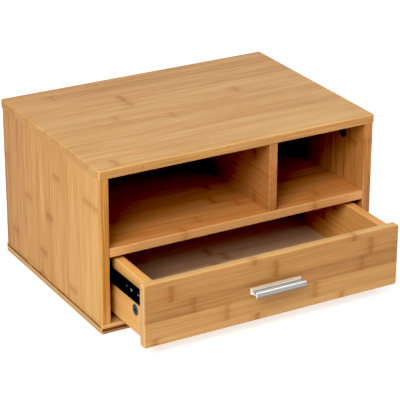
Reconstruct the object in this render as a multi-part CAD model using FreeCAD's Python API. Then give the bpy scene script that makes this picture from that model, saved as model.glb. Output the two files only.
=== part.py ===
"""Bamboo desktop organiser: a two-compartment riser with one drawer on ball slides.

Frame: millimetres, +Z up, the drawer opens towards -Y, +X to the right.
Origin: centre of the case's footprint, on the plane the case stands on.
Rest position: the drawer stands pulled out by `drawer_opening`.
"""
import FreeCAD, Part
import os

Vec = FreeCAD.Vector

# ---------------------------------------------------------------- driving sizes
case_width = 400.0
case_depth = 288.0
case_height = 220.0
board = 12.0                    # thickness of every bamboo board
side_overhang = 1.5             # top and bottom stand proud of the sides
front_overhang = 1.0
shelf_top_height = 114.5
shelf_end_gap = 0.3             # joint line at each end of the shelf
divider_centre = 48.5           # to the right of the middle
divider_setback = 1.0           # behind the shelf's front edge
corner_radius = 3.0             # upright corners of the top, bottom and drawer front
panel_edge_radius = 1.6         # long edges of the top and bottom
front_edge_radius = 2.0         # edges of the drawer front
eased_radius = 1.0              # exposed edges of every other board
front_setback = 0.5             # shelf behind the side boards' front edges

back_thickness = 4.0
back_inset = 9.0                # back board in front of the side boards' rear edges
groove_depth = 5.0
groove_play = 0.15              # each side of a board in its groove
groove_end_play = 0.3           # between a board's edge and the groove's floor

drawer_opening = 86.0
drawer_front_width = 370.0
drawer_front_bottom = 15.5
drawer_front_height = 84.5
drawer_side_length = 250.0
drawer_side_bottom = 19.0
drawer_side_top = 97.5
drawer_bottom_height = 27.0
drawer_bottom_thickness = 4.0

slide_space = 10.0              # between a side board and the drawer
slide_length = 250.0
slide_centre_height = 75.0
slide_setback = 13.0            # slide's front end behind the side boards' front edges
steel = 1.0                     # thickness of the slide's sheet steel
cabinet_member_height = 27.0
cabinet_member_reach = 8.6      # from the side board
cabinet_member_lip = 2.2
drawer_member_height = 16.5
drawer_member_reach = 6.4       # from the drawer side
drawer_member_lip = 2.4
slide_bend_radius = 0.55
retainer_length = 100.0
retainer_steel = 0.8
retainer_gap = 0.7              # between the cage's web and the cabinet member's
retainer_reach = 7.2            # of the cage's flanges, from the side board
retainer_start = 110.0          # retainer's front end behind the slide's, drawer closed
ball_clearance = 0.3            # between a ball and each raceway
ball_pitch = 11.5
screw_stations = (37.0, 165.0, 229.0)       # cabinet screws, behind the slide's front end
drawer_screw_stations = (34.0, 163.0, 227.0)
raised_slot_station = 47.5      # upright adjusting slot in the drawer member
raised_slot_size = (4.6, 6.8)   # along the slide, and upright
long_slot_station = 17.5        # lengthwise adjusting slot in the drawer member
long_slot_size = (8.4, 5.0)

# wood screws: radii of shank and head, length over all, and height of the sunk head
cabinet_screw = {"length": 10.5, "shank": 1.6, "head": 3.1, "sink": 1.7}
drawer_screw = {"length": 10.5, "shank": 1.6, "head": 3.1, "sink": 1.7}
divider_screw = {"length": 34.0, "shank": 1.7, "head": 3.6, "sink": 2.1}

cam_radius = 7.5
cam_depth = 9.7
cam_backset = 27.0              # cam's centre behind the joint
cam_fit = 0.08                  # radial clearance of a cam in its pocket
bolt_thread_radius = 2.5
bolt_thread_length = 8.5
bolt_shank_radius = 2.0
bolt_collar_radius = 3.3
bolt_head_radius = 2.8
bolt_bore_radius = 3.5
hole_play = 0.05
dowel_radius = 3.0
dowel_short = 8.0               # depth in the face of a board
dowel_long = 20.0               # depth in the edge of a board
case_cam_y = 92.0
case_dowel_y = 118.0
divider_fixing_y = 80.0
drawer_cam_height = 50.0
drawer_back_cam_height = 58.0
drawer_dowel_heights = (38.0, 86.0)

handle_length = 72.0
handle_bottom = 54.0
handle_top = 62.3
handle_plate = 2.2              # thickness of the plate against the drawer front
handle_root_reach = 5.6         # the root's end, in front of the drawer front
handle_root_thickness = 4.4     # takes the screws
handle_web_thickness = 2.0
handle_web_height = 57.4        # middle of the web
handle_root_taper = 2.0         # run over which the root thins to the web
handle_web_end = 14.4           # inside the lip
handle_lip_outside = ((13.6, 61.4), (15.8, 57.4), (14.7, 54.0))  # reach and height: crest, middle, foot
handle_lip_inside = ((12.9, 54.0), (13.8, 57.4), (12.2, 60.6))   # the same from foot to crest
handle_hole_spacing = 64.0
handle_screw_radius = 1.5
handle_screw_depth = 5.2        # into the handle
handle_screw_head_radius = 3.0
handle_screw_head_height = 2.0
handle_recess_length = 3.8      # each slot of the screw's cross
handle_recess_width = 0.8
handle_recess_depth = 1.0

# ---------------------------------------------------------------- derived places
side_outer_x = case_width / 2 - side_overhang
side_inner_x = side_outer_x - board
side_front_y = -case_depth / 2 + front_overhang
side_back_y = -side_front_y
top_underside = case_height - board
shelf_underside = shelf_top_height - board
back_front_y = side_back_y - back_inset - back_thickness
inner_depth_end = back_front_y - 0.5        # shelf and divider stop short of the back board

drawer_outer_x = side_inner_x - slide_space
drawer_inner_x = drawer_outer_x - board
drawer_front_back_y = side_front_y + board
drawer_end_y = drawer_front_back_y + drawer_side_length
drawer_back_front_y = drawer_end_y - board
slide_front_y = side_front_y + slide_setback

race_outer = cabinet_member_height / 2 - steel
race_inner = drawer_member_height / 2
ball_height = (race_outer + race_inner) / 2
ball_radius = (race_outer - race_inner) / 2 - ball_clearance
ball_inset = slide_space / 2

SIDES = (("left", -1), ("right", 1))


# ---------------------------------------------------------------- small helpers
def block(x0, x1, y0, y1, z0, z1):
    """Box between two corners, given as pairs along each axis."""
    low = Vec(min(x0, x1), min(y0, y1), min(z0, z1))
    return Part.makeBox(abs(x1 - x0), abs(y1 - y0), abs(z1 - z0), low)


def rod(radius, start, end):
    """Cylinder of a radius from one point to another."""
    start, end = Vec(*start), Vec(*end)
    return Part.makeCylinder(radius, (end - start).Length, start, end - start)


def fuse(shapes):
    """One shape from touching shapes, with the lines between flush faces removed."""
    return shapes[0].multiFuse(shapes[1:]).removeSplitter()


def cut(shape, tools):
    """A shape with every tool removed."""
    return shape.cut(Part.makeCompound(list(tools)))


def edges_along(shape, axis, test=lambda point: True):
    """Straight edges parallel to an axis whose middle passes a test."""
    found = []
    for edge in shape.Edges:
        if edge.Curve.TypeId != "Part::GeomLine":
            continue
        direction = edge.tangentAt(edge.FirstParameter)
        if abs(abs(direction.dot(Vec(*axis))) - 1) < 1e-6 and test(edge.CenterOfMass):
            found.append(edge)
    return found


def eased_board(shape, upright, corner, edge_radius):
    """Board with rounded corners along `upright`, then all its other edges eased."""
    rounded = shape.makeFillet(corner, edges_along(shape, upright))
    others = [edge for edge in rounded.Edges if abs(edge_direction(edge, upright)) < 0.5]
    return rounded.makeFillet(edge_radius, others)


def edge_direction(edge, axis):
    """How far an edge runs along an axis: 1 for parallel, 0 for square to it."""
    middle = (edge.FirstParameter + edge.LastParameter) / 2
    return edge.tangentAt(middle).dot(Vec(*axis))


def turned(shape, start, towards):
    """Shape made at the origin along +Z, put at a point and pointed along a direction."""
    placed = shape.copy()
    rotation = FreeCAD.Rotation(Vec(0, 0, 1), Vec(*towards))
    placed.Placement = FreeCAD.Placement(Vec(*start), rotation)
    return placed


# ---------------------------------------------------------------- fasteners
def cam_lock(face_point, inward, joint_direction):
    """Zinc cam disc in its pocket: cross recess in its face, slot towards the joint."""
    inward, joint = Vec(*inward), Vec(*joint_direction)
    face = Vec(*face_point)
    radius = cam_radius - cam_fit
    disc = Part.makeCylinder(radius, cam_depth - 0.3, face + inward * 0.1, inward)
    across = inward.cross(joint)
    slot_half = bolt_head_radius + 0.3
    axis_point = face + inward * (board / 2)
    slot = slab(axis_point, joint, across, inward, (-4.0, radius + 1), slot_half, slot_half)
    recess = []
    for along, side in ((joint, across), (across, joint)):
        recess.append(slab(face, along, side, inward, (-3.2, 3.2), 0.65, 1.6))
    return cut(disc, [slot] + recess)


def slab(centre, along, side, deep, span, half_side, half_deep):
    """Box about a centre in three given directions; `span` is its reach along the first."""
    corners = []
    for reach, sideways in ((span[0], -1), (span[1], -1), (span[1], 1), (span[0], 1)):
        corners.append(centre + along * reach + side * (sideways * half_side) - deep * half_deep)
    outline = Part.makePolygon(corners + corners[:1])
    return Part.Face(outline).extrude(deep * (2 * half_deep))


def cam_bolt(joint_point, into_mate):
    """Steel bolt: thread in the mating board, shank and head reaching into the cam."""
    joint, mate = Vec(*joint_point), Vec(*into_mate)
    back = mate * -1
    head_start = cam_backset - 3.0
    thread = Part.makeCylinder(bolt_thread_radius, bolt_thread_length, joint, mate)
    collar = Part.makeCylinder(bolt_collar_radius, 1.4, joint, back)
    shank = Part.makeCylinder(bolt_shank_radius, head_start + 0.5, joint, back)
    head = Part.makeCylinder(bolt_head_radius, 4.0, joint + back * head_start, back)
    return fuse([thread, collar, shank, head])


def cam_joint_cuts(face_point, inward, joint_point, into_mate):
    """Pocket and bolt bore in the board with the cam; thread hole in the mating board."""
    face, inward = Vec(*face_point), Vec(*inward)
    joint, mate = Vec(*joint_point), Vec(*into_mate)
    pocket = Part.makeCylinder(cam_radius, cam_depth, face, inward)
    bore = Part.makeCylinder(bolt_bore_radius, cam_backset, joint, mate * -1)
    thread = Part.makeCylinder(bolt_thread_radius + hole_play, bolt_thread_length + 0.3, joint, mate)
    return [pocket, bore], [thread]


def dowel(joint_point, into_face):
    """Wooden dowel with eased ends, across a joint."""
    joint, way = Vec(*joint_point), Vec(*into_face)
    pin = Part.makeCylinder(dowel_radius, dowel_short + dowel_long, joint - way * dowel_long, way)
    return pin.makeChamfer(0.6, [edge for edge in pin.Edges if edge.Curve.TypeId == "Part::GeomCircle"])


def dowel_hole(joint_point, into_face):
    """Hole for a dowel, a little deeper and wider than the dowel."""
    joint, way = Vec(*joint_point), Vec(*into_face)
    length = dowel_short + dowel_long + 1.0
    return Part.makeCylinder(dowel_radius + hole_play, length, joint - way * (dowel_long + 0.5), way)


def wood_screw(head_point, inward, screw):
    """Wood screw with a sunk head, crossed for a driver, on a shank that ends in a point."""
    tip = 3.0
    shank_end = screw["length"] - tip
    along = Vec(0, 0, 1)
    shank = Part.makeCylinder(screw["shank"], shank_end, Vec(0, 0, 0), along)
    point = Part.makeCone(screw["shank"], 0.3, tip, Vec(0, 0, shank_end), along)
    head = Part.makeCone(screw["head"], screw["shank"], screw["sink"], Vec(0, 0, 0), along)
    body = fuse([shank, point, head])
    arm = screw["head"] * 0.62
    for half_x, half_y in ((arm, 0.45), (0.45, arm)):
        body = body.cut(block(-half_x, half_x, -half_y, half_y, -0.1, 0.9))
    return turned(body, head_point, inward)


def screw_seats(points, inward, screw):
    """Pilot holes and countersinks for wood screws, a little wider and deeper than each screw."""
    way = Vec(*inward)
    tools = []
    for point in points:
        head_point = Vec(*point)
        tools.append(Part.makeCylinder(screw["shank"] + hole_play, screw["length"] + 3.6,
                                       head_point - way * 3.0, way))
        tools.append(Part.makeCone(screw["head"] + hole_play, screw["shank"] + hole_play,
                                   screw["sink"] + 0.04, head_point - way * 0.02, way))
    return tools


# ---------------------------------------------------------------- case joints
def case_corner_joints():
    """Cam, dowel and bolt places where each side board meets the top and the bottom."""
    places = []
    for name, sign in SIDES:
        middle_x = sign * (side_inner_x + board / 2)
        inner_face = sign * side_inner_x
        for joint_z, up in ((top_underside, 1), (board, -1)):
            for end in (-1, 1):
                places.append({
                    "side": name,
                    "mate": "top" if up > 0 else "bottom",
                    "cam": (inner_face, end * case_cam_y, joint_z - up * cam_backset),
                    "inward": (sign, 0, 0),
                    "joint": (middle_x, end * case_cam_y, joint_z),
                    "dowel": (middle_x, end * case_dowel_y, joint_z),
                    "way": (0, 0, up),
                })
    return places


def shelf_joints():
    """Cam, dowel and bolt places at the two ends of the shelf."""
    places = []
    middle_z = shelf_top_height - board / 2
    for name, sign in SIDES:
        end_x = sign * side_inner_x
        for end in (-1, 1):
            places.append({
                "side": name,
                "cam": (sign * (side_inner_x - cam_backset), end * case_cam_y, shelf_underside),
                "inward": (0, 0, 1),
                "joint": (end_x, end * case_cam_y, middle_z),
                "dowel": (end_x, end * case_dowel_y, middle_z),
                "way": (sign, 0, 0),
            })
    return places


def joint_cuts(places, wanted, board_with_cam):
    """All cuts that the listed joints make in the cam's board or in the mating board."""
    tools = []
    for place in places:
        if not wanted(place):
            continue
        cam_cuts, mate_cuts = cam_joint_cuts(place["cam"], place["inward"], place["joint"], place["way"])
        tools += cam_cuts if board_with_cam else mate_cuts
        if "dowel" in place:
            tools.append(dowel_hole(place["dowel"], place["way"]))
    return tools


def cam_locks_for(places):
    """One cam lock for each joint place."""
    return Part.makeCompound([cam_lock(p["cam"], p["inward"], p["way"]) for p in places])


def cam_bolts_for(places):
    """One cam bolt for each joint place."""
    return Part.makeCompound([cam_bolt(p["joint"], p["way"]) for p in places])


def dowels_for(places):
    """One dowel for each joint place that has one."""
    return Part.makeCompound([dowel(p["dowel"], p["way"]) for p in places if "dowel" in p])


# ---------------------------------------------------------------- case boards
def divider_dowel_places():
    """Joint points between the divider's top edge and the top board."""
    return [(divider_centre, end * divider_fixing_y, top_underside) for end in (-1, 1)]


def divider_screw_places():
    """Head points of the screws that come up through the shelf into the divider."""
    return [(divider_centre, end * divider_fixing_y, shelf_underside) for end in (-1, 1)]


def back_groove():
    """The space that the back board's groove takes from the boards around it."""
    half = side_inner_x + groove_depth
    return block(-half, half, back_front_y - groove_play, back_front_y + back_thickness + groove_play,
                 board - groove_depth, top_underside + groove_depth)


def flat_panel(low_z):
    """Top or bottom board: full width and depth, rounded corners, eased edges."""
    panel = block(-case_width / 2, case_width / 2, -case_depth / 2, case_depth / 2, low_z, low_z + board)
    return eased_board(panel, (0, 0, 1), corner_radius, panel_edge_radius)


def make_top_panel():
    tools = joint_cuts(case_corner_joints(), lambda p: p["mate"] == "top", False)
    tools += [dowel_hole(point, (0, 0, 1)) for point in divider_dowel_places()]
    return cut(flat_panel(top_underside), tools + [back_groove()])


def make_bottom_panel():
    tools = joint_cuts(case_corner_joints(), lambda p: p["mate"] == "bottom", False)
    return cut(flat_panel(0.0), tools + [back_groove()])


def cabinet_screw_places(sign):
    """Head points of the screws through the cabinet member's web."""
    face_x = sign * (side_inner_x - steel)
    return [(face_x, slide_front_y + station, slide_centre_height) for station in screw_stations]


def drawer_screw_places(sign):
    """Head points of the screws through the drawer member's web, with the drawer closed."""
    face_x = sign * (drawer_outer_x + steel)
    return [(face_x, slide_front_y + station, slide_centre_height) for station in drawer_screw_stations]


def make_side_panel(name, sign):
    """Side board with its cam pockets, bolt and dowel holes, back groove and slide pilots."""
    panel = block(sign * side_inner_x, sign * side_outer_x, side_front_y, side_back_y, board, top_underside)
    panel = panel.makeFillet(eased_radius, edges_along(panel, (0, 0, 1)))
    tools = joint_cuts(case_corner_joints(), lambda p: p["side"] == name, True)
    tools += joint_cuts(shelf_joints(), lambda p: p["side"] == name, False)
    tools += screw_seats(cabinet_screw_places(sign), (sign, 0, 0), cabinet_screw)
    return cut(panel, tools + [back_groove()])


def make_shelf():
    half = side_inner_x - shelf_end_gap
    front = side_front_y + front_setback
    shelf = block(-half, half, front, inner_depth_end, shelf_underside, shelf_top_height)
    shelf = shelf.makeFillet(eased_radius, edges_along(shelf, (1, 0, 0), lambda point: point.y < 0))
    tools = joint_cuts(shelf_joints(), lambda p: True, True)
    tools += screw_seats(divider_screw_places(), (0, 0, 1), divider_screw)
    return cut(shelf, tools)


def make_divider():
    front = side_front_y + front_setback + divider_setback
    divider = block(divider_centre - board / 2, divider_centre + board / 2, front, inner_depth_end,
                    shelf_top_height, top_underside)
    divider = divider.makeFillet(eased_radius, edges_along(divider, (0, 0, 1), lambda point: point.y < 0))
    tools = [dowel_hole(point, (0, 0, 1)) for point in divider_dowel_places()]
    tools += screw_seats(divider_screw_places(), (0, 0, 1), divider_screw)
    return cut(divider, tools)


def make_back_panel():
    half = side_inner_x + groove_depth - groove_end_play
    reach = groove_depth - groove_end_play
    return block(-half, half, back_front_y, back_front_y + back_thickness,
                 board - reach, top_underside + reach)


# ---------------------------------------------------------------- ball slides
def channel(sign, web_x, reach_x, half_height, lip):
    """Rolled steel channel along Y: web, two flanges and a lip on each flange's edge."""
    inward = 1 if reach_x > web_x else -1
    web = block(web_x, web_x + inward * steel, 0, slide_length, -half_height, half_height)
    pieces = [web]
    for up in (-1, 1):
        outer = up * half_height
        inner = up * (half_height - steel)
        pieces.append(block(web_x, reach_x, 0, slide_length, inner, outer))
        pieces.append(block(reach_x - inward * steel, reach_x, 0, slide_length, outer, outer - up * lip))
    body = fuse(pieces)
    corners = edges_along(body, (0, 1, 0), lambda point: abs(abs(point.z) - half_height) < 1e-6)
    body = body.makeFillet(slide_bend_radius, corners)
    if sign > 0:
        body = body.mirror(Vec(0, 0, 0), Vec(1, 0, 0))
    body.translate(Vec(0, slide_front_y, slide_centre_height))
    return body


def make_cabinet_member(sign):
    """Outer slide member, screwed to the side board, open towards the drawer."""
    body = channel(sign, -side_inner_x, -side_inner_x + cabinet_member_reach, cabinet_member_height / 2,
                   cabinet_member_lip)
    return cut(body, screw_seats(cabinet_screw_places(sign), (sign, 0, 0), cabinet_screw))


def make_drawer_member(sign):
    """Inner slide member, screwed to the drawer side, with its adjusting slots."""
    body = channel(sign, -drawer_outer_x, -drawer_outer_x - drawer_member_reach, drawer_member_height / 2,
                   drawer_member_lip)
    through = (drawer_outer_x - 0.5, drawer_outer_x + steel + 0.5)
    tools = [slot_tool(sign, through, raised_slot_station, raised_slot_size)]
    tools.append(slot_tool(sign, through, long_slot_station, long_slot_size))
    return cut(body, tools + screw_seats(drawer_screw_places(sign), (-sign, 0, 0), drawer_screw))


def slot_tool(sign, through, station, size):
    """Round-ended slot cutter across a slide's web."""
    y = slide_front_y + station
    half_long, half_high = size[0] / 2, size[1] / 2
    bar = block(sign * through[0], sign * through[1], y - half_long, y + half_long,
                slide_centre_height - half_high, slide_centre_height + half_high)
    return bar.makeFillet(min(half_long, half_high) * 0.98, edges_along(bar, (1, 0, 0)))


def ball_stations():
    """Distances of the balls behind the slide's front end, with the drawer closed."""
    count = int((retainer_length - 8.0) // ball_pitch) + 1
    first = retainer_start + (retainer_length - (count - 1) * ball_pitch) / 2
    return [first + index * ball_pitch for index in range(count)]


def ball_centres(sign):
    """Centres of the upper and lower rows of balls."""
    x = sign * (side_inner_x - ball_inset)
    rows = (slide_centre_height - ball_height, slide_centre_height + ball_height)
    return [Vec(x, slide_front_y + station, z) for z in rows for station in ball_stations()]


def make_ball_retainer(sign):
    """Thin steel cage between the two members, with a hole round every ball."""
    web_x = side_inner_x - steel - retainer_gap
    tip_x = side_inner_x - retainer_reach
    y0 = slide_front_y + retainer_start
    half = ball_height + retainer_steel / 2
    pieces = [block(sign * web_x, sign * (web_x - retainer_steel), y0, y0 + retainer_length,
                    slide_centre_height - half, slide_centre_height + half)]
    for up in (-1, 1):
        outer_z = slide_centre_height + up * half
        pieces.append(block(sign * web_x, sign * tip_x, y0, y0 + retainer_length,
                            outer_z, outer_z - up * retainer_steel))
    seats = [rod(ball_radius + 0.03, (c.x, c.y, c.z - 2), (c.x, c.y, c.z + 2)) for c in ball_centres(sign)]
    return cut(fuse(pieces), seats)


def make_bearing_balls(sign):
    """Two rows of steel balls."""
    return Part.makeCompound([Part.makeSphere(ball_radius, centre) for centre in ball_centres(sign)])


# ---------------------------------------------------------------- drawer
def drawer_front_joints():
    """Cam, bolt and dowel places where the drawer's sides meet its front."""
    places = []
    for name, sign in SIDES:
        middle_x = sign * (drawer_inner_x + board / 2)
        places.append({
            "side": name,
            "cam": (sign * drawer_outer_x, drawer_front_back_y + cam_backset, drawer_cam_height),
            "inward": (-sign, 0, 0),
            "joint": (middle_x, drawer_front_back_y, drawer_cam_height),
            "way": (0, -1, 0),
        })
    return places


def drawer_back_joints():
    """Cam and bolt places where the drawer's back meets its sides."""
    places = []
    middle_y = drawer_back_front_y + board / 2
    for name, sign in SIDES:
        places.append({
            "side": name,
            "cam": (sign * (drawer_inner_x - cam_backset), drawer_end_y, drawer_back_cam_height),
            "inward": (0, -1, 0),
            "joint": (sign * drawer_inner_x, middle_y, drawer_back_cam_height),
            "way": (sign, 0, 0),
        })
    return places


def drawer_dowel_places(which, side=None):
    """Dowel joint points at the drawer's front or back corners, with their directions."""
    places = []
    for name, sign in SIDES:
        if side not in (None, name):
            continue
        for height in drawer_dowel_heights:
            if which == "front":
                point = (sign * (drawer_inner_x + board / 2), drawer_front_back_y, height)
                places.append((point, (0, -1, 0)))
            else:
                point = (sign * drawer_inner_x, drawer_back_front_y + board / 2, height)
                places.append((point, (sign, 0, 0)))
    return places


def drawer_groove():
    """The space that the drawer bottom's groove takes from the four drawer boards."""
    half = drawer_inner_x + groove_depth
    return block(-half, half, drawer_front_back_y - groove_depth, drawer_back_front_y + groove_depth,
                 drawer_bottom_height - groove_play,
                 drawer_bottom_height + drawer_bottom_thickness + groove_play)


def handle_screw_points():
    """Head points of the handle's screws, on the drawer front's inner face."""
    half = handle_hole_spacing / 2
    return [(sign * half, drawer_front_back_y, handle_web_height) for sign in (-1, 1)]


def make_drawer_front():
    half = drawer_front_width / 2
    front = block(-half, half, side_front_y, drawer_front_back_y,
                  drawer_front_bottom, drawer_front_bottom + drawer_front_height)
    front = eased_board(front, (0, 1, 0), corner_radius, front_edge_radius)
    tools = joint_cuts(drawer_front_joints(), lambda p: True, False)
    tools += [dowel_hole(point, way) for point, way in drawer_dowel_places("front")]
    for x, y, z in handle_screw_points():
        tools.append(rod(handle_screw_radius + 0.2, (x, y + 1, z), (x, side_front_y - 1, z)))
    return cut(front, tools + [drawer_groove()])


def make_drawer_side(name, sign):
    """Drawer side with its cam pocket, joint holes, bottom groove and slide pilots."""
    side = block(sign * drawer_inner_x, sign * drawer_outer_x, drawer_front_back_y, drawer_end_y,
                 drawer_side_bottom, drawer_side_top)
    side = side.makeFillet(eased_radius, edges_along(side, (0, 1, 0)))
    tools = joint_cuts(drawer_front_joints(), lambda p: p["side"] == name, True)
    tools += joint_cuts(drawer_back_joints(), lambda p: p["side"] == name, False)
    for which in ("front", "back"):
        tools += [dowel_hole(point, way) for point, way in drawer_dowel_places(which, name)]
    tools += screw_seats(drawer_screw_places(sign), (-sign, 0, 0), drawer_screw)
    return cut(side, tools + [drawer_groove()])


def make_drawer_back():
    back = block(-drawer_inner_x, drawer_inner_x, drawer_back_front_y, drawer_end_y,
                 drawer_side_bottom, drawer_side_top)
    upper = edges_along(back, (1, 0, 0), lambda point: point.z > drawer_side_bottom + 1)
    back = back.makeFillet(eased_radius, upper)
    tools = joint_cuts(drawer_back_joints(), lambda p: True, True)
    tools += [dowel_hole(point, way) for point, way in drawer_dowel_places("back")]
    return cut(back, tools + [drawer_groove()])


def make_drawer_bottom():
    reach = groove_depth - groove_end_play
    half = drawer_inner_x + reach
    return block(-half, half, drawer_front_back_y - reach, drawer_back_front_y + reach,
                 drawer_bottom_height, drawer_bottom_height + drawer_bottom_thickness)


def drawer_dowels():
    places = drawer_dowel_places("front") + drawer_dowel_places("back")
    return Part.makeCompound([dowel(point, way) for point, way in places])


# ---------------------------------------------------------------- handle
def handle_section():
    """Outline of the extrusion, seen along X: back plate, web and curved lip."""
    face = side_front_y

    def at(forward, height):
        return Vec(0, face - forward, height)

    plate = [at(0, handle_bottom), at(0, handle_top),
             at(handle_plate, handle_top), at(handle_plate, handle_bottom)]
    middle, root, web = handle_web_height, handle_root_thickness / 2, handle_web_thickness / 2
    rib_start = handle_plate / 2
    taper_end = handle_root_reach + handle_root_taper
    rib = [at(rib_start, middle - root), at(rib_start, middle + root),
           at(handle_root_reach, middle + root), at(taper_end, middle + web),
           at(handle_web_end, middle + web), at(handle_web_end, middle - web),
           at(taper_end, middle - web), at(handle_root_reach, middle - root)]
    faces = [Part.Face(Part.makePolygon(points + points[:1])) for points in (plate, rib)]
    outside = [at(reach, height) for reach, height in handle_lip_outside]
    inside = [at(reach, height) for reach, height in handle_lip_inside]
    outline = [Part.Arc(*outside).toShape(), Part.makeLine(outside[-1], inside[0]),
               Part.Arc(*inside).toShape(), Part.makeLine(inside[-1], outside[0])]
    faces.append(Part.Face(Part.Wire(outline)))
    return faces


def make_handle():
    """Aluminium pull: the section drawn out along X, with two tapped holes in its root."""
    bars = [face.extrude(Vec(handle_length, 0, 0)) for face in handle_section()]
    bar = fuse(bars)
    bar.translate(Vec(-handle_length / 2, 0, 0))
    tools = []
    for x, y, z in handle_screw_points():
        tools.append(rod(handle_screw_radius + hole_play, (x, side_front_y + 1, z),
                         (x, side_front_y - handle_screw_depth - 0.5, z)))
    return cut(bar, tools)


def make_handle_screws():
    """Machine screws from inside the drawer into the handle."""
    long_half, short_half = handle_recess_length / 2, handle_recess_width / 2
    screws = []
    for x, y, z in handle_screw_points():
        shank = rod(handle_screw_radius, (x, y, z), (x, side_front_y - handle_screw_depth, z))
        crown = y + handle_screw_head_height
        head = Part.makeCylinder(handle_screw_head_radius, handle_screw_head_height,
                                 Vec(x, y, z), Vec(0, 1, 0))
        rim = [edge for edge in head.Edges if abs(edge.BoundBox.YMin - crown) < 1e-6]
        body = fuse([shank, head.makeFillet(handle_screw_head_height / 2, rim)])
        for half_x, half_z in ((long_half, short_half), (short_half, long_half)):
            body = body.cut(block(x - half_x, x + half_x, crown - handle_recess_depth, crown + 1,
                                  z - half_z, z + half_z))
        screws.append(body)
    return Part.makeCompound(screws)


# ---------------------------------------------------------------- all nodes
def slide_screws(places, screw, way):
    """Screws of both slides: `way` is 1 into the side boards, -1 into the drawer sides."""
    screws = []
    for name, sign in SIDES:
        screws += [wood_screw(point, (sign * way, 0, 0), screw) for point in places(sign)]
    return Part.makeCompound(screws)


def case_nodes():
    """Everything that stays with the case."""
    corners, ends = case_corner_joints(), shelf_joints()
    nodes = {
        "top_panel": make_top_panel(),
        "bottom_panel": make_bottom_panel(),
        "shelf": make_shelf(),
        "divider": make_divider(),
        "back_panel": make_back_panel(),
        "case_cam_locks": cam_locks_for(corners),
        "case_cam_bolts": cam_bolts_for(corners),
        "case_dowels": dowels_for(corners),
        "shelf_cam_locks": cam_locks_for(ends),
        "shelf_cam_bolts": cam_bolts_for(ends),
        "shelf_dowels": dowels_for(ends),
        "divider_dowels": Part.makeCompound([dowel(point, (0, 0, 1)) for point in divider_dowel_places()]),
        "divider_screws": Part.makeCompound([
            wood_screw(point, (0, 0, 1), divider_screw) for point in divider_screw_places()]),
        "cabinet_slide_screws": slide_screws(cabinet_screw_places, cabinet_screw, 1),
    }
    for name, sign in SIDES:
        nodes["side_panel_" + name] = make_side_panel(name, sign)
        nodes["slide_cabinet_member_" + name] = make_cabinet_member(sign)
    return nodes


def drawer_nodes():
    """Everything that moves with the drawer, in its closed position."""
    fronts, backs = drawer_front_joints(), drawer_back_joints()
    nodes = {
        "drawer_front": make_drawer_front(),
        "drawer_back": make_drawer_back(),
        "drawer_bottom": make_drawer_bottom(),
        "drawer_cam_locks": cam_locks_for(fronts + backs),
        "drawer_cam_bolts": cam_bolts_for(fronts + backs),
        "drawer_dowels": drawer_dowels(),
        "drawer_slide_screws": slide_screws(drawer_screw_places, drawer_screw, -1),
        "handle": make_handle(),
        "handle_screws": make_handle_screws(),
    }
    for name, sign in SIDES:
        nodes["drawer_side_" + name] = make_drawer_side(name, sign)
        nodes["slide_drawer_member_" + name] = make_drawer_member(sign)
    return nodes


def retainer_nodes():
    """The ball cages and their balls, in the drawer's closed position."""
    nodes = {}
    for name, sign in SIDES:
        nodes["ball_retainer_" + name] = make_ball_retainer(sign)
        nodes["bearing_balls_" + name] = make_bearing_balls(sign)
    return nodes


def moved_out(nodes, distance):
    """The same nodes, pulled out of the case by a distance."""
    for shape in nodes.values():
        shape.translate(Vec(0, -distance, 0))
    return nodes


def main():
    os.makedirs("parts", exist_ok=True)
    nodes = case_nodes()
    nodes.update(moved_out(drawer_nodes(), drawer_opening))
    nodes.update(moved_out(retainer_nodes(), drawer_opening / 2))
    for name, shape in nodes.items():
        if not shape.isValid():
            raise ValueError(name + " is not a valid shape")
        shape.exportStep("parts/" + name + ".step")


main()
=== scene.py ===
"""Bamboo desktop organiser: finishes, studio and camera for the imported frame, as a Blender add-on."""
import math
import random

import bmesh
import bpy
from bpy.props import FloatProperty, FloatVectorProperty, PointerProperty
from mathutils import Matrix, Vector


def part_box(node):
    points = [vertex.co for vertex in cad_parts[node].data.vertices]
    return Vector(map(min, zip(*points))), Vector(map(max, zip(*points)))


bl_info = {
    "name": "Bamboo Desktop Organiser",
    "version": (1, 0, 0),
    "blender": (4, 5, 0),
    "location": "View3D > Sidebar > Organiser",
    "description": "Dresses a bamboo organiser with one drawer: boards, slides, fittings, pull and studio",
    "category": "Object",
}

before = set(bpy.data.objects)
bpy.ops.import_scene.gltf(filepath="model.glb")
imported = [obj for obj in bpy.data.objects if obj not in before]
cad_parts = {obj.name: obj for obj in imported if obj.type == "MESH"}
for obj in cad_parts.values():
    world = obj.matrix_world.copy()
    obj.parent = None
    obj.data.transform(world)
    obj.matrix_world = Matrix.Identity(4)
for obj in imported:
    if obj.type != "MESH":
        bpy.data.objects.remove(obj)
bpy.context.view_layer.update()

MM = 0.001
X, Y, Z = 0, 1, 2
SIDES = ("left", "right")


# ------------------------------------------------------------------ settings
def colour(name, description, value):
    """Colour setting in linear light."""
    return FloatVectorProperty(name=name, description=description, default=value, subtype="COLOR",
                               size=3, min=0.0, max=1.0)


def length(name, description, value):
    """Length setting in metres."""
    return FloatProperty(name=name, description=description, default=value, subtype="DISTANCE",
                         unit="LENGTH", min=0.0)


def share(name, description, value):
    """Setting from 0 to 1."""
    return FloatProperty(name=name, description=description, default=value, subtype="FACTOR",
                         min=0.0, max=1.0)


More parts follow.
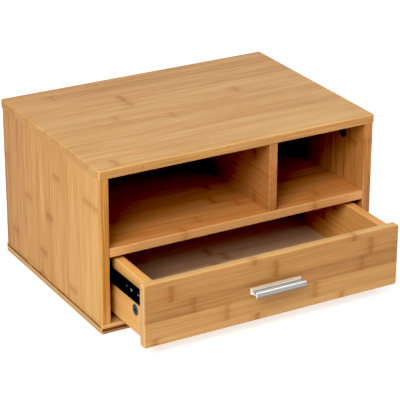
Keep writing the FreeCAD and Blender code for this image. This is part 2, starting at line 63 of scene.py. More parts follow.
class BambooSettings(bpy.types.PropertyGroup):
    """Laminated bamboo: colours, strip sizes and how much the strips differ."""

    pale: colour("Pale strip", "Colour of the palest strips", (0.52, 0.318, 0.124))
    middle: colour("Middle strip", "Colour of most strips", (0.455, 0.243, 0.079))
    deep: colour("Deep strip", "Colour of the darkest strips", (0.375, 0.175, 0.049))
    strip_width: length("Strip width", "Width of one bamboo strip", 21.8 * MM)
    ply_thickness: length("Ply thickness", "Thickness of one of a board's three layers", 4.0 * MM)
    spread: share("Spread of tone", "How much neighbouring strips differ", 0.20)
    roughness: share("Roughness", "Roughness of the lacquer", 0.42)


class MetalSettings(bpy.types.PropertyGroup):
    """Slides, fittings and the pull."""

    slide: colour("Slide coat", "Colour of the slides' black coat", (0.0050, 0.0036, 0.0020))
    zinc: colour("Zinc", "Colour of the cam locks", (0.075, 0.083, 0.095))
    screw: colour("Screw", "Colour of the yellow passivated screws", (0.66, 0.68, 0.50))
    steel: colour("Steel", "Colour of bolts, cages and balls", (0.56, 0.56, 0.57))
    aluminium: colour("Aluminium", "Colour of the pull", (0.62, 0.60, 0.57))
    pull_roughness: share("Pull roughness", "Roughness of the satin pull", 0.44)


class StageSettings(bpy.types.PropertyGroup):
    """Floor, lights and camera."""

    floor: colour("Floor", "Colour of the pale floor", (0.55, 0.55, 0.55))
    glow: FloatProperty(name="Floor glow", description="Light from the floor, which thins the shadows",
                        default=0.62, min=0.0)
    ambient: FloatProperty(name="Ambient", description="Strength of the even light from all round",
                           default=0.15, min=0.0)
    key: FloatProperty(name="Key light", description="Power of the large light on the left",
                       default=99.0, min=0.0, subtype="POWER", unit="POWER")
    top: FloatProperty(name="Top light", description="Power of the light overhead", default=100.0,
                       min=0.0, subtype="POWER", unit="POWER")
    front: FloatProperty(name="Front light", description="Power of the soft light at the front",
                         default=20.0, min=0.0, subtype="POWER", unit="POWER")
    back: FloatProperty(name="Back light", description="Power of the panel behind, which the top mirrors",
                        default=18.0, min=0.0, subtype="POWER", unit="POWER")


# ------------------------------------------------------------------ node helpers
class Graph:
    """Short calls for building a shader node tree."""

    def __init__(self, tree):
        self.tree = tree

    def node(self, kind, values=None, **options):
        """New node with its options set and its inputs linked or filled by name or number."""
        made = self.tree.nodes.new(kind)
        for option, value in options.items():
            setattr(made, option, value)
        for key, value in (values or {}).items():
            self.feed(made.inputs[key], value)
        return made

    def feed(self, socket, value):
        """Link a socket, or set its own value."""
        if isinstance(value, bpy.types.NodeSocket):
            self.tree.links.new(value, socket)
        else:
            socket.default_value = value

    def math(self, operation, a, b=0.0, clamp=False):
        return self.node("ShaderNodeMath", {0: a, 1: b}, operation=operation, use_clamp=clamp).outputs[0]

    def step(self, value, low, high, out_low=0.0, out_high=1.0):
        """Smooth step of a value from one range to another."""
        made = self.node("ShaderNodeMapRange", {0: value, 1: low, 2: high, 3: out_low, 4: out_high},
                         interpolation_type="SMOOTHSTEP")
        return made.outputs[0]

    def vector(self, x=0.0, y=0.0, z=0.0):
        return self.node("ShaderNodeCombineXYZ", {0: x, 1: y, 2: z}).outputs[0]

    def noise(self, vector, scale=1.0, detail=2.0, rough=0.5):
        values = {"Vector": vector, "Scale": scale, "Detail": detail, "Roughness": rough}
        return self.node("ShaderNodeTexNoise", values).outputs[0]

    def blend(self, share_, a, b, mode="MIX"):
        """Blend of two colours."""
        made = self.node("ShaderNodeMix", data_type="RGBA", blend_type=mode, clamp_result=True)
        self.feed(made.inputs[0], share_)
        self.feed(made.inputs[6], a)
        self.feed(made.inputs[7], b)
        return made.outputs[2]

    def ramp(self, value, stops, smooth="LINEAR"):
        """Colour ramp from (place, colour or number) pairs."""
        made = self.node("ShaderNodeValToRGB", {0: value})
        made.color_ramp.interpolation = smooth
        elements = made.color_ramp.elements
        while len(elements) < len(stops):
            elements.new(1.0)
        for element, (place, tint) in zip(elements, stops):
            element.position = place
            tint = (tint,) * 3 if isinstance(tint, (int, float)) else tuple(tint)
            element.color = (*tint[:3], 1.0)
        return made.outputs[0]


def new_material(name):
    """Empty node material with its principled shader and output: (material, graph, shader)."""
    material = bpy.data.materials.new(name)
    material.use_nodes = True
    material.node_tree.nodes.clear()
    graph = Graph(material.node_tree)
    shader = graph.node("ShaderNodeBsdfPrincipled")
    output = graph.node("ShaderNodeOutputMaterial")
    graph.feed(output.inputs["Surface"], shader.outputs[0])
    return material, graph, shader


def scaled(tint, red, green, blue):
    """Colour with each channel multiplied."""
    return (tint[0] * red, tint[1] * green, tint[2] * blue)


def bump(graph, shader, height, strength, distance):
    """Bump on a shader; distance in metres."""
    made = graph.node("ShaderNodeBump", {"Height": height, "Strength": strength, "Distance": distance})
    graph.feed(shader.inputs["Normal"], made.outputs[0])


# ------------------------------------------------------------------ bamboo
NO_KNOT = 650.0         # a joint this far off, in millimetres, never shows
KNOT_SPAN = 1300.0      # range of joint places that a table can hold, in millimetres
CHANGE_SPAN = 4.0       # range of tone changes that a table can hold
MIDDLE_TONE = 0.5       # tone that leaves a strip or ply as it is
LACQUER_GLOSS = 0.18
GRAIN_RELIEF = 0.12 * MM

# Grain noises: length and width in millimetres, octaves, roughness and strength.
DRIFT = (240.0, 13.0, 2.0, 0.55, 0.8)
STREAK = (130.0, 2.6, 2.0, 0.5, 1.1)
THREAD = (60.0, 0.9, 3.0, 0.6, 1.15)
FIBRE = (15.0, 0.30, 2.0, 0.6, 1.0)
HUE = (190.0, 5.5, 2.0, 0.5, 2.6)

# Tints that multiply the bamboo's colour.
DARKEST_TINT = (0.30, 0.22, 0.18)
ROSY_TINT = (1.03, 0.90, 0.84, 1)
OLIVE_TINT = (0.95, 0.985, 0.80, 1)
FIBRE_TINT = (0.86, 0.76, 0.62, 1)
DASH_TINT = (0.78, 0.62, 0.44, 1)
KNOT_TINT = (0.76, 0.58, 0.42, 1)
GLUE_TINT = (0.70, 0.58, 0.46, 1)
CUT_TINT = (0.98, 0.96, 0.93, 1)
PORE_TINT = (0.80, 0.66, 0.52, 1)
# Painted highlight on the eased edges.
EDGE_HIGHLIGHT_TINT = (1.25, 1.22, 1.18, 1)


def table(graph, place, values):
    """Look up one number per whole step of place, from 0, in a constant ramp."""
    count = float(len(values))
    spot = graph.math("DIVIDE", graph.math("ADD", place, 0.5), count)
    stops = [(index / count, value) for index, value in enumerate(values)]
    return graph.ramp(spot, stops, "CONSTANT")


def bamboo_group(settings):
    """Node group for laminated bamboo: colour, roughness and height at a place in a board.

    Along runs with the grain, Across over the strips, Deep through the plies, all in millimetres.
    End is 1 on a cut end and Edge is 1 on an eased edge. Knot is the distance to the strip's nearest
    culm joint. Shade lightens or darkens a strip or ply, and Figure sets how strongly the grain shows.
    """
    tree = bpy.data.node_groups.new("laminated_bamboo", "ShaderNodeTree")
    face = tree.interface
    names = ("Along", "Across", "Deep", "Strip", "Ply", "End", "Edge", "Knot", "Shade", "Seed", "Plies",
             "Figure")
    for name in names:
        face.new_socket(name, in_out="INPUT", socket_type="NodeSocketFloat")
    face.new_socket("Colour", in_out="OUTPUT", socket_type="NodeSocketColor")
    face.new_socket("Roughness", in_out="OUTPUT", socket_type="NodeSocketFloat")
    face.new_socket("Height", in_out="OUTPUT", socket_type="NodeSocketFloat")
    graph = Graph(tree)
    given = graph.node("NodeGroupInput").outputs
    along, across, deep = given["Along"], given["Across"], given["Deep"]
    end, seed, strip, ply = given["End"], given["Seed"], given["Strip"], given["Ply"]
    strips_per_mm = 1.0 / (settings.strip_width / MM)

    # Every strip of every ply is cut from another place along another culm.
    cell = graph.node("ShaderNodeTexWhiteNoise", {"Vector": graph.vector(strip, ply, seed)})
    shifts = graph.node("ShaderNodeSeparateColor", {0: cell.outputs["Color"]}).outputs
    run = graph.math("ADD", along, graph.math("MULTIPLY", shifts[1], 900.0))
    lane = graph.math("ADD", across, graph.math("MULTIPLY", shifts[0], 300.0))

    def grain(run_length, width, detail, rough, gain):
        """Noise drawn out along the grain, centred on 0."""
        place = graph.vector(graph.math("DIVIDE", run, run_length), graph.math("DIVIDE", lane, width),
                             graph.math("DIVIDE", deep, width))
        noise = graph.noise(place, 1.0, detail, rough)
        return graph.math("MULTIPLY", graph.math("SUBTRACT", noise, 0.5), gain)

    def total(*terms):
        """Sum of several sockets or numbers."""
        amount = terms[0]
        for term in terms[1:]:
            amount = graph.math("ADD", amount, term)
        return amount

    drift, streak, thread, fibre = (grain(*size) for size in (DRIFT, STREAK, THREAD, FIBRE))
    cell_tone = graph.math("MULTIPLY", graph.math("SUBTRACT", cell.outputs["Value"], 0.5),
                           settings.spread)
    figure = graph.math("MULTIPLY", total(drift, streak, thread), given["Figure"])
    value = total(given["Shade"], cell_tone, figure)
    value = graph.math("MULTIPLY", value, 0.5)
    darkest = scaled(settings.deep, *DARKEST_TINT)
    body = graph.ramp(value, ((0.05, settings.pale), (0.25, settings.middle), (0.48, settings.deep),
                              (0.85, darkest)))
    hue = grain(*HUE)
    body = graph.blend(graph.step(hue, 0.05, 0.75), body, ROSY_TINT, "MULTIPLY")
    body = graph.blend(graph.step(hue, -0.05, -0.75), body, OLIVE_TINT, "MULTIPLY")
    body = graph.blend(graph.step(fibre, 0.04, 0.26, 0.0, 0.55), body, FIBRE_TINT, "MULTIPLY")

    # Short dark vessels.
    dash_place = graph.vector(graph.math("DIVIDE", run, 6.0), graph.math("DIVIDE", lane, 0.75), seed)
    dashes = graph.node("ShaderNodeTexVoronoi", {"Vector": dash_place, "Scale": 1.0, "Randomness": 1.0})
    some = graph.node("ShaderNodeSeparateColor", {0: dashes.outputs["Color"]}).outputs[0]
    dash = graph.math("MULTIPLY", graph.step(dashes.outputs["Distance"], 0.26, 0.10),
                      graph.step(some, 0.55, 0.75))
    body = graph.blend(graph.math("MULTIPLY", dash, 0.55), body, DASH_TINT, "MULTIPLY")

    # Culm joints: a speckled stain, a narrow rib beside it and a faint halo.
    wander = graph.noise(graph.vector(graph.math("DIVIDE", across, 4.0), strip, seed), 1.0, 3.0, 0.6)
    wander = graph.math("MULTIPLY", graph.math("SUBTRACT", wander, 0.5), 12.0)
    off = graph.math("ADD", given["Knot"], wander)
    near = graph.math("ABSOLUTE", off)
    speck_place = graph.vector(graph.math("DIVIDE", along, 3.4), graph.math("DIVIDE", across, 1.5), seed)
    speck = graph.noise(speck_place, 1.0, 3.0, 0.7)
    stain = graph.math("MULTIPLY", graph.step(near, 6.0, 1.5), graph.step(speck, 0.36, 0.62, 0.25, 1.0))
    rib = graph.step(graph.math("ABSOLUTE", graph.math("SUBTRACT", off, 1.6)), 1.5, 0.3)
    halo = graph.math("MULTIPLY", graph.step(near, 15.0, 4.0), 0.26)
    flat = graph.math("SUBTRACT", 1.0, end)
    force = graph.math("ADD", graph.math("MULTIPLY", shifts[2], 0.5), 0.5)
    mark = total(graph.math("MULTIPLY", stain, 0.80), graph.math("MULTIPLY", rib, 0.30), halo)
    mark = graph.math("MULTIPLY", graph.math("MULTIPLY", mark, flat), force, clamp=True)
    body = graph.blend(mark, body, KNOT_TINT, "MULTIPLY")

    # Glue lines between strips and between plies.
    seam_place = graph.math("FRACT", graph.math("MULTIPLY", across, strips_per_mm))
    seam = graph.math("MINIMUM", seam_place, graph.math("SUBTRACT", 1.0, seam_place))
    seam = graph.step(seam, 0.013, 0.0)
    layer = graph.math("DIVIDE", deep, settings.ply_thickness / MM)
    nearest = graph.math("ROUND", layer)
    inside = graph.math("MULTIPLY", graph.math("GREATER_THAN", nearest, 0.5),
                        graph.math("LESS_THAN", nearest, graph.math("SUBTRACT", given["Plies"], 0.5)))
    glue = graph.step(graph.math("ABSOLUTE", graph.math("SUBTRACT", layer, nearest)), 0.05, 0.0)
    glue = graph.math("MULTIPLY", glue, inside)
    line = graph.math("MAXIMUM", graph.math("MULTIPLY", seam, 0.7), graph.math("MULTIPLY", glue, 0.8))
    body = graph.blend(line, body, GLUE_TINT, "MULTIPLY")

    # Cut ends show the pores, and eased edges are painted paler: a painted highlight.
    dots = graph.node("ShaderNodeTexVoronoi", {"Vector": graph.vector(across, deep, seed), "Scale": 1.1,
                                               "Randomness": 0.9})
    pores = graph.step(dots.outputs["Distance"], 0.40, 0.14, 0.0, 0.45)
    cut = graph.blend(1.0, body, CUT_TINT, "MULTIPLY")
    cut = graph.blend(pores, cut, PORE_TINT, "MULTIPLY")
    body = graph.blend(end, body, cut)
    painted_edge_highlight = graph.math("MULTIPLY", given["Edge"], 0.7)
    body = graph.blend(painted_edge_highlight, body, EDGE_HIGHLIGHT_TINT, "MULTIPLY")

    rough = total(graph.math("MULTIPLY", thread, 0.35), graph.math("MULTIPLY", fibre, 0.10),
                  settings.roughness)
    rough = total(rough, graph.math("MULTIPLY", end, 0.16), graph.math("MULTIPLY", mark, 0.06))
    height = total(graph.math("MULTIPLY", fibre, -0.6), graph.math("MULTIPLY", thread, 0.5),
                   graph.math("MULTIPLY", line, -0.9), graph.math("MULTIPLY", mark, 0.4),
                   graph.math("MULTIPLY", dash, -0.35))
    result = graph.node("NodeGroupOutput")
    graph.feed(result.inputs["Colour"], body)
    graph.feed(result.inputs["Roughness"], rough)
    graph.feed(result.inputs["Height"], height)
    return tree


def culm_joints(low, high, strips, seed):
    """Places of the culm's joints for each strip of a board, in millimetres along its grain."""
    chance = random.Random(seed)
    places = []
    for _strip in range(strips):
        spot = low + chance.uniform(-60.0, 190.0)
        spots = []
        while spot < high and len(spots) < 3:
            spots.append(spot)
            spot += chance.uniform(150.0, 260.0)
        places.append(spots)
    return places


def bamboo_material(node, grain, across, seed, first_seam=0.0, knots=None, shades=None, plies=None,
                    end_plies=None, tone=0.0, flank_tone=0.28, end_tone=0.0, figure=1.0,
                    stain=(1.0, 1.0, 1.0)):
    """Bamboo for one board: grain and across are axes, first_seam a strip seam's place in millimetres.

    knots gives each strip's joint places from the lowest up, in millimetres along the grain;
    shades gives each strip's tone, plies each ply's tone and end_plies the same on the cut ends. 0 is
    pale and 1 is deep, and a value past either is stronger. tone deepens the whole board, flank_tone
    the narrow faces that run with the grain and end_tone the cut ends; a value below 0 pales them.
    Several boards use tone, flank_tone and end_tone as painted shade and painted light. figure
    strengthens the grain and stain multiplies the colour.
    """
    deep = 3 - grain - across
    low, high = (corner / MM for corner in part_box(node))
    settings = bpy.context.scene.organiser_bamboo
    pitch = settings.strip_width / MM
    start = first_seam - math.ceil((first_seam - low[across]) / pitch) * pitch
    strips = math.ceil((high[across] - start) / pitch)
    layers = max(1, round((high[deep] - low[deep]) * MM / settings.ply_thickness))
    knots = knots or culm_joints(low[grain], high[grain], strips, seed)
    shades = shades or [MIDDLE_TONE] * strips
    plies = plies or [MIDDLE_TONE] * layers
    end_plies = end_plies or plies

    material, graph, shader = new_material("bamboo_" + node)
    where = graph.node("ShaderNodeTexCoord").outputs
    place = graph.node("ShaderNodeSeparateXYZ", {0: where["Object"]}).outputs
    facing = graph.node("ShaderNodeSeparateXYZ", {0: where["Normal"]}).outputs

    def measure(axis, origin):
        """Millimetres from an origin along an axis."""
        return graph.math("SUBTRACT", graph.math("MULTIPLY", place[axis], 1 / MM), origin)

    along, over, depth = measure(grain, 0.0), measure(across, start), measure(deep, low[deep])
    strip = graph.math("FLOOR", graph.math("DIVIDE", over, pitch))
    shift = graph.math("DIVIDE", depth, settings.ply_thickness / MM)
    ply = graph.math("FLOOR", graph.math("MINIMUM", graph.math("MAXIMUM", shift, 0.01), layers - 0.01))
    nearest = None
    for rank in range(max(len(spots) for spots in knots)):
        packed = [(spots[rank] if rank < len(spots) else NO_KNOT) / KNOT_SPAN + 0.5 for spots in knots]
        spot = graph.math("MULTIPLY", graph.math("SUBTRACT", table(graph, strip, packed), 0.5), KNOT_SPAN)
        away = graph.math("SUBTRACT", along, spot)
        if nearest is None:
            nearest = away
            continue
        closer = graph.math("LESS_THAN", graph.math("ABSOLUTE", away), graph.math("ABSOLUTE", nearest))
        change = graph.math("MULTIPLY", closer, graph.math("SUBTRACT", away, nearest))
        nearest = graph.math("ADD", nearest, change)
    sizes = [graph.math("ABSOLUTE", facing[axis]) for axis in (X, Y, Z)]
    end = graph.step(sizes[grain], 0.62, 0.86)
    changes = [0.5 + (cut - flat) / CHANGE_SPAN for cut, flat in zip(end_plies, plies)]
    cut_change = graph.math("ADD", table(graph, ply, changes), -0.5)
    cut_change = graph.math("ADD", graph.math("MULTIPLY", cut_change, CHANGE_SPAN), end_tone)
    shade = graph.math("ADD", table(graph, strip, shades), table(graph, ply, plies))
    shade = graph.math("ADD", shade, graph.math("MULTIPLY", end, cut_change))
    flank = graph.math("MULTIPLY", graph.step(sizes[across], 0.75, 0.95), flank_tone)
    shade = graph.math("ADD", graph.math("ADD", shade, flank), tone - MIDDLE_TONE)
    squarest = graph.math("MAXIMUM", graph.math("MAXIMUM", sizes[X], sizes[Y]), sizes[Z])
    edge = graph.step(squarest, 0.985, 0.90)
    values = {"Along": along, "Across": over, "Deep": depth, "Strip": strip, "Ply": ply, "End": end,
              "Edge": edge, "Knot": nearest, "Shade": shade, "Seed": float(seed), "Plies": float(layers),
              "Figure": figure}
    wood = graph.node("ShaderNodeGroup", node_tree=bpy.data.node_groups["laminated_bamboo"])
    for key, value in values.items():
        graph.feed(wood.inputs[key], value)
    body = graph.blend(1.0, wood.outputs["Colour"], (*stain, 1), "MULTIPLY")
    graph.feed(shader.inputs["Base Color"], body)
    graph.feed(shader.inputs["Roughness"], wood.outputs["Roughness"])
    shader.inputs["Specular IOR Level"].default_value = LACQUER_GLOSS
    bump(graph, shader, wood.outputs["Height"], 0.25, GRAIN_RELIEF)
    return material


def dress(node, material):
    """Give a CAD node one material."""
    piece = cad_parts[node]
    piece.data.materials.clear()
    piece.data.materials.append(material)


# Culm joints of each strip from the lowest up, in millimetres along the grain.
TOP_KNOTS = ([], [-170], [], [], [], [], [-30], [-101], [90], [-61], [-60], [], [-140], [])
LEFT_KNOTS = ([], [165], [166], [], [27], [], [166], [103], [45], [], [108], [], [43], [143])
FRONT_KNOTS = ([-26, 100, -170], [-70, 59], [-117, 129], [-148, 0, 142], [-31, 116])
# Tone of each strip from the lowest up, from 0 pale to 1 deep. On the top and the left side the strips
# also deepen steadily from front to back: painted shade for the light falling off towards the back.
TOP_TONES_WITH_PAINTED_SHADE = (0.42, 0.36, 0.46, 0.38, 0.50, 0.42, 0.52, 0.46, 0.56, 0.48, 0.58, 0.52, 0.66, 0.72)
LEFT_TONES_WITH_PAINTED_SHADE = (0.38, 0.30, 0.34, 0.46, 0.42, 0.56, 0.52, 0.62, 0.58, 0.66, 0.60, 0.70, 0.74, 0.80)
FRONT_SHADES = (0.62, 0.66, 1.02, 0.96, 0.84)

CASE_BOARDS = (
    ("top_panel", X, Y, 3, {
        "first_seam": -8.0, "knots": TOP_KNOTS, "shades": TOP_TONES_WITH_PAINTED_SHADE, "figure": 1.1}),
    ("bottom_panel", X, Y, 11, {
        "first_seam": -6.0, "plies": (0.8, 1.9, 0.2), "end_plies": (0.4, -0.3, 1.5)}),
    ("side_panel_left", Z, Y, 5, {
        "first_seam": -7.9, "knots": LEFT_KNOTS, "shades": LEFT_TONES_WITH_PAINTED_SHADE, "tone": 0.06, "figure": 1.4,
        "stain": (1.05, 0.97, 0.68)}),
    # The right side's tone is painted shade: it darkens the board as if lying in the compartments' shade.
    ("side_panel_right", Z, Y, 23, {
        "first_seam": 3.0, "tone": 0.15, "figure": 1.6, "stain": (1.05, 0.92, 0.86)}),
    # The shelf's tone is painted shade on its top; its negative flank_tone is painted light on its front
    # edge.
    ("shelf", X, Y, 31, {
        "first_seam": 2.0, "tone": 0.3, "flank_tone": -0.9, "stain": (1.16, 0.98, 0.94)}),
    # The divider's tone is painted shade, for the shade inside the compartments.
    ("divider", Y, Z, 41, {
        "first_seam": 130.0, "tone": 0.35, "figure": 0.9, "stain": (1.04, 0.92, 0.96)}),
)
DRAWER_BOARDS = (
    # The drawer front's negative flank_tone and end_tone are painted highlights on its top and bottom
    # edges and its cut ends.
    ("drawer_front", X, Z, 7, {
        "first_seam": 26.3, "knots": FRONT_KNOTS, "shades": FRONT_SHADES, "flank_tone": -1.0,
        "end_tone": -1.1, "figure": 0.7, "stain": (1.0, 1.03, 1.10)}),
    # The drawer sides' negative tone is painted light: it pales them as if fully lit. Their stain warms
    # the colour.
    ("drawer_side_left", Y, Z, 13, {
        "first_seam": 40.0, "tone": -0.45, "flank_tone": 0.0, "stain": (1.17, 1.05, 0.84)}),
    ("drawer_side_right", Y, Z, 17, {
        "first_seam": 34.0, "tone": -0.20, "flank_tone": 0.0, "stain": (1.14, 0.97, 0.80)}),
    ("drawer_back", X, Z, 19, {"first_seam": 30.0}),
)
SHEETS = (
    ("back_panel", X, Z, 53, {}),
    ("drawer_bottom", X, Y, 59, {"tone": -0.4, "stain": (1.35, 1.55, 2.4)}),
)


class ORGANISER_OT_case_boards(bpy.types.Operator):
    """Give the top, bottom, sides, shelf and divider their laminated bamboo"""

    bl_idname = "organiser.case_boards"
    bl_label = "Case boards"

    def execute(self, context):
        if "laminated_bamboo" not in bpy.data.node_groups:
            bamboo_group(context.scene.organiser_bamboo)
        for node, grain, across, seed, extra in CASE_BOARDS:
            dress(node, bamboo_material(node, grain, across, seed, **extra))
        return {"FINISHED"}


class ORGANISER_OT_drawer_boards(bpy.types.Operator):
    """Give the drawer's four boards their laminated bamboo"""

    bl_idname = "organiser.drawer_boards"
    bl_label = "Drawer boards"

    def execute(self, context):
        for node, grain, across, seed, extra in DRAWER_BOARDS:
            dress(node, bamboo_material(node, grain, across, seed, **extra))
        return {"FINISHED"}


class ORGANISER_OT_sheets(bpy.types.Operator):
    """Give the thin back board and the drawer's bottom their bamboo sheet"""

    bl_idname = "organiser.sheets"
    bl_label = "Back board and drawer bottom"

    def execute(self, context):
        for node, grain, across, seed, extra in SHEETS:
            dress(node, bamboo_material(node, grain, across, seed, **extra))
        return {"FINISHED"}


# ------------------------------------------------------------------ metals
# Noise cells per metre, across rolled or brushed lines and along them.
ROLLED_FINE, ROLLED_LONG = 2200.0, 30.0
BRUSHED_FINE, BRUSHED_LONG = 2600.0, 25.0
METAL_RELIEF = 0.03 * MM
COAT_GLOSS = 0.12

# The pull, measured out from the drawer's front and down from the pull's top.
PULL_REACH = 16.0 * MM
PULL_DROP = 8.3 * MM
LIP_START, LIP_FULL = 11.5 * MM, 12.5 * MM
BRUSHED_TINT = (0.82, 0.82, 0.84, 1)
SAWN_COLOUR = (0.93, 0.90, 0.88, 1)


def metal_material(name, tint, roughness, metallic, grain_axis=None, grain=0.08, speckle=0.05):
    """Metal or coat with fine rolled lines along an axis, or an even mottle without one."""
    material, graph, shader = new_material(name)
    where = graph.node("ShaderNodeTexCoord").outputs["Object"]
    stretch = [ROLLED_FINE] * 3
    if grain_axis is not None:
        stretch[grain_axis] = ROLLED_LONG
    fine = graph.noise(graph.node("ShaderNodeMapping", {"Vector": where, "Scale": stretch}).outputs[0],
                       1.0, 3.0, 0.6)
    mottle = graph.noise(where, 160.0, 3.0, 0.6)
    dark = tuple(c * (1 - speckle * 2) for c in tint)
    graph.feed(shader.inputs["Base Color"], graph.blend(mottle, (*tint, 1), (*dark, 1)))
    rough = graph.math("ADD", graph.math("MULTIPLY", fine, grain * 2), roughness - grain)
    rough = graph.math("ADD", rough, graph.math("MULTIPLY", mottle, grain))
    graph.feed(shader.inputs["Roughness"], rough)
    shader.inputs["Metallic"].default_value = metallic
    if metallic == 0.0:
        shader.inputs["Specular IOR Level"].default_value = COAT_GLOSS
    bump(graph, shader, fine, 0.12, METAL_RELIEF)
    return material


class ORGANISER_OT_slides(bpy.types.Operator):
    """Give the two ball slides their black steel, cages and balls"""

    bl_idname = "organiser.slides"
    bl_label = "Ball slides"

    def execute(self, context):
        metal = context.scene.organiser_metal
        black = metal_material("black_slide_coat", metal.slide, 0.55, 0.0, Y, 0.06, 0.2)
        steel = metal_material("bright_steel", metal.steel, 0.30, 1.0, Y)
        for side in SIDES:
            dress("slide_cabinet_member_" + side, black)
            dress("slide_drawer_member_" + side, black)
            dress("ball_retainer_" + side, steel)
            dress("bearing_balls_" + side, steel)
        return {"FINISHED"}


class ORGANISER_OT_fittings(bpy.types.Operator):
    """Give the cam locks, bolts, dowels and screws their finish"""

    bl_idname = "organiser.fittings"
    bl_label = "Fittings"

    def execute(self, context):
        metal = context.scene.organiser_metal
        zinc = metal_material("cast_zinc", metal.zinc, 0.46, 0.85, None, 0.08, 0.12)
        screw = metal_material("passivated_screw", metal.screw, 0.32, 1.0, None)
        steel = metal_material("plated_bolt", metal.steel, 0.32, 1.0, None)
        beech = metal_material("beech_dowel", (0.62, 0.42, 0.24), 0.6, 0.0, Y, 0.06, 0.1)
        for node in ("case_cam_locks", "shelf_cam_locks", "drawer_cam_locks"):
            dress(node, zinc)
        for node in ("cabinet_slide_screws", "drawer_slide_screws", "divider_screws"):
            dress(node, screw)
        for node in ("case_cam_bolts", "shelf_cam_bolts", "drawer_cam_bolts", "handle_screws"):
            dress(node, steel)
        for node in ("case_dowels", "shelf_dowels", "divider_dowels", "drawer_dowels"):
            dress(node, beech)
        return {"FINISHED"}


def aluminium_material(settings):
    """Brushed aluminium: lines along the pull, matt sawn ends, and painted light: a lighter etched back
    face, a darker upper face, a highlight along the lip's top edge and a lip darkening downwards.
    """
    material, graph, shader = new_material("satin_aluminium")
    where = graph.node("ShaderNodeTexCoord").outputs
    place = graph.node("ShaderNodeSeparateXYZ", {0: where["Object"]}).outputs
    facing = graph.node("ShaderNodeSeparateXYZ", {0: where["Normal"]}).outputs
    scale = (BRUSHED_LONG, BRUSHED_FINE, BRUSHED_FINE)
    lines = graph.node("ShaderNodeMapping", {"Vector": where["Object"], "Scale": scale})
    brushed = graph.noise(lines.outputs[0], 1.0, 3.0, 0.6)
    mottle = graph.noise(where["Object"], 140.0, 3.0, 0.6)
    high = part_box("handle")[1]
    forward = graph.math("SUBTRACT", high.y, place[Y])
    below = graph.math("SUBTRACT", high.z, place[Z])
    lip = graph.step(forward, LIP_START, LIP_FULL)
    sawn = graph.step(graph.math("ABSOLUTE", facing[X]), 0.7, 0.95)

    metal = settings.aluminium
    # Painted light on the pull: the back face is painted lighter and the upper face darker as painted
    # shade. A painted highlight runs along the lip's top edge, and the lip is painted darker towards its
    # lower edge as painted shade.
    plate_painted_light, web_painted_shade = scaled(metal, 1.35, 1.24, 1.12), scaled(metal, 0.66, 0.66, 0.66)
    crest_painted_highlight, foot_painted_shade = scaled(metal, 1.55, 1.55, 1.55), scaled(metal, 0.34, 0.29, 0.25)
    forward_share = graph.math("DIVIDE", forward, PULL_REACH)
    flat = graph.ramp(forward_share, ((0.0, plate_painted_light), (0.15, plate_painted_light), (0.22, web_painted_shade)))
    down = graph.ramp(graph.math("DIVIDE", below, PULL_DROP),
                      ((0.10, crest_painted_highlight), (0.17, crest_painted_highlight), (0.26, metal), (0.9, foot_painted_shade)))
    tint = graph.blend(lip, flat, down)
    lined = graph.math("MULTIPLY", graph.step(brushed, 0.40, 0.65), 0.25)
    tint = graph.blend(lined, tint, BRUSHED_TINT, "MULTIPLY")
    tint = graph.blend(sawn, tint, SAWN_COLOUR)
    graph.feed(shader.inputs["Base Color"], tint)
    rough = graph.math("ADD", graph.math("MULTIPLY", brushed, 0.16), settings.pull_roughness - 0.08)
    rough = graph.math("ADD", rough, graph.math("MULTIPLY", mottle, 0.06))
    graph.feed(shader.inputs["Roughness"], graph.math("ADD", rough, graph.math("MULTIPLY", sawn, 0.30)))
    etched = graph.ramp(forward_share, ((0.0, 0.5), (0.15, 0.5), (0.22, 0.0)))
    matt = graph.math("ADD", graph.math("MULTIPLY", sawn, 0.45), etched)
    graph.feed(shader.inputs["Metallic"], graph.math("SUBTRACT", 1.0, matt, clamp=True))
    shader.inputs["Anisotropic"].default_value = 0.6
    graph.feed(shader.inputs["Tangent"], graph.vector(1.0, 0.0, 0.0))
    bump(graph, shader, brushed, 0.25, METAL_RELIEF)
    return material


class ORGANISER_OT_pull(bpy.types.Operator):
    """Finish the satin aluminium pull on the drawer's front"""

    bl_idname = "organiser.pull"
    bl_label = "Aluminium pull"

    def execute(self, context):
        dress("handle", aluminium_material(context.scene.organiser_metal))
        return {"FINISHED"}


# ------------------------------------------------------------------ stage
CAMERA_AZIMUTH = math.radians(-29.65)
CAMERA_ELEVATION = math.radians(23.49)
CAMERA_ROLL = math.radians(0.18)
CAMERA_DISTANCE = 2.5000
CAMERA_RIGHT = 0.0190
CAMERA_UP = 0.0794
CAMERA_LENS = 166.0
CAMERA_SENSOR = 36.0
FLOOR_HALF = 14.0           # half of the floor's side
FLOOR_DROP = 0.0004         # floor below the case, so that their faces don't fight
FLOOR_GRAIN = 900.0         # paper fibres per metre
BLACK_LEVEL = (0.037, 0.024, 0.013)     # shadows below this are black

# Lights: where each stands, what it faces, and its sides.
KEY_PLACE = ((-2.0, -1.6, 2.1), (0, -0.05, 0.1), (1.6, 1.6))
TOP_PLACE = ((0.0, -0.5, 3.6), (0, -0.1, 0), (4.4, 4.4))
FRONT_PLACE = ((-0.2, -3.0, 1.7), (0, 0, 0.1), (2.4, 1.6))
BACK_PLACE = ((1.6, 2.8, 1.5), (0, 0, 0.2), (3.2, 1.8))


def area_light(name, placing, power):
    """Soft rectangular light, placed and turned by (place, aim, sides)."""
    place, aim, size = placing
    data = bpy.data.lights.new(name, "AREA")
    data.shape = "RECTANGLE"
    data.size, data.size_y = size
    data.energy = power
    light = bpy.data.objects.new(name, data)
    light.location = place
    light.rotation_euler = (Vector(aim) - Vector(place)).to_track_quat("-Z", "Y").to_euler()
    bpy.context.scene.collection.objects.link(light)


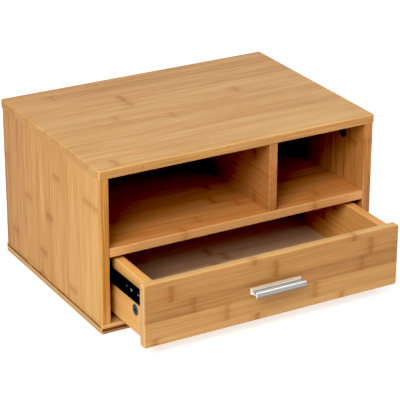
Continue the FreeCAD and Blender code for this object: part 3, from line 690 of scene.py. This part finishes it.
def make_camera():
    """Camera at the height and side that show the top, the left side and the open drawer."""
    data = bpy.data.cameras.new("camera")
    data.lens = CAMERA_LENS
    data.sensor_width = CAMERA_SENSOR
    data.clip_start, data.clip_end = 0.05, 60.0
    camera = bpy.data.objects.new("camera", data)
    bpy.context.scene.collection.objects.link(camera)
    a, e = CAMERA_AZIMUTH, CAMERA_ELEVATION
    back = Vector((math.sin(a) * math.cos(e), -math.cos(a) * math.cos(e), math.sin(e)))
    right = Vector((math.cos(a), math.sin(a), 0.0))
    up = back.cross(right)
    camera.location = back * CAMERA_DISTANCE + right * CAMERA_RIGHT + up * CAMERA_UP
    turn = Matrix((right, up, back)).transposed().to_quaternion()
    camera.rotation_mode = "QUATERNION"
    camera.rotation_quaternion = turn @ Matrix.Rotation(CAMERA_ROLL, 3, "Z").to_quaternion()
    bpy.context.scene.camera = camera


def floor_material(tint, glow):
    """Matt pale paper for the floor, which gives off a little light of its own."""
    material, graph, shader = new_material("pale_paper")
    where = graph.node("ShaderNodeTexCoord").outputs["Object"]
    fine = graph.noise(where, FLOOR_GRAIN, 2.0)
    soft = tuple(c * 0.99 for c in tint)
    graph.feed(shader.inputs["Base Color"], graph.blend(fine, (*tint, 1), (*soft, 1)))
    shader.inputs["Roughness"].default_value = 0.9
    shader.inputs["Specular IOR Level"].default_value = 0.0
    shader.inputs["Emission Color"].default_value = (1.0, 1.0, 1.0, 1.0)
    shader.inputs["Emission Strength"].default_value = glow
    return material


class ORGANISER_OT_stage(bpy.types.Operator):
    """Set up the pale floor, the soft lights and the camera"""

    bl_idname = "organiser.stage"
    bl_label = "Studio"

    def execute(self, context):
        stage = context.scene.organiser_stage
        mesh = bpy.data.meshes.new("floor")
        shape = bmesh.new()
        bmesh.ops.create_grid(shape, x_segments=4, y_segments=4, size=FLOOR_HALF)
        shape.to_mesh(mesh)
        shape.free()
        floor = bpy.data.objects.new("floor", mesh)
        floor.location.z = -FLOOR_DROP
        context.scene.collection.objects.link(floor)
        floor.data.materials.append(floor_material(stage.floor, stage.glow))
        area_light("key_light", KEY_PLACE, stage.key)
        area_light("top_light", TOP_PLACE, stage.top)
        area_light("front_light", FRONT_PLACE, stage.front)
        area_light("back_light", BACK_PLACE, stage.back)
        world = bpy.data.worlds.new("studio")
        context.scene.world = world
        world.use_nodes = True
        background = world.node_tree.nodes["Background"]
        background.inputs["Color"].default_value = (1.0, 1.0, 1.0, 1.0)
        background.inputs["Strength"].default_value = stage.ambient
        view = context.scene.view_settings
        view.view_transform = "Standard"
        view.use_curve_mapping = True
        view.curve_mapping.black_level = BLACK_LEVEL
        view.curve_mapping.update()
        make_camera()
        return {"FINISHED"}


# ------------------------------------------------------------------ panel and run
class ORGANISER_PT_panel(bpy.types.Panel):
    """Sizes, colours and steps of the organiser"""

    bl_idname = "ORGANISER_PT_panel"
    bl_label = "Bamboo Organiser"
    bl_space_type = "VIEW_3D"
    bl_region_type = "UI"
    bl_category = "Organiser"

    def draw(self, context):
        layout = self.layout
        scene = context.scene
        for group in (scene.organiser_bamboo, scene.organiser_metal, scene.organiser_stage):
            box = layout.box()
            for name in group.__annotations__:
                box.prop(group, name)
        for operator in OPERATORS:
            layout.operator(operator.bl_idname)


OPERATORS = (
    ORGANISER_OT_case_boards,
    ORGANISER_OT_drawer_boards,
    ORGANISER_OT_sheets,
    ORGANISER_OT_slides,
    ORGANISER_OT_fittings,
    ORGANISER_OT_pull,
    ORGANISER_OT_stage,
)
CLASSES = (BambooSettings, MetalSettings, StageSettings, *OPERATORS, ORGANISER_PT_panel)


def register():
    for item in CLASSES:
        bpy.utils.register_class(item)
    bpy.types.Scene.organiser_bamboo = PointerProperty(type=BambooSettings)
    bpy.types.Scene.organiser_metal = PointerProperty(type=MetalSettings)
    bpy.types.Scene.organiser_stage = PointerProperty(type=StageSettings)


def unregister():
    del bpy.types.Scene.organiser_stage
    del bpy.types.Scene.organiser_metal
    del bpy.types.Scene.organiser_bamboo
    for item in reversed(CLASSES):
        bpy.utils.unregister_class(item)


def main():
    register()
    for operator in OPERATORS:
        group, name = operator.bl_idname.split(".")
        getattr(getattr(bpy.ops, group), name)()


if __name__ == "__main__":
    main()
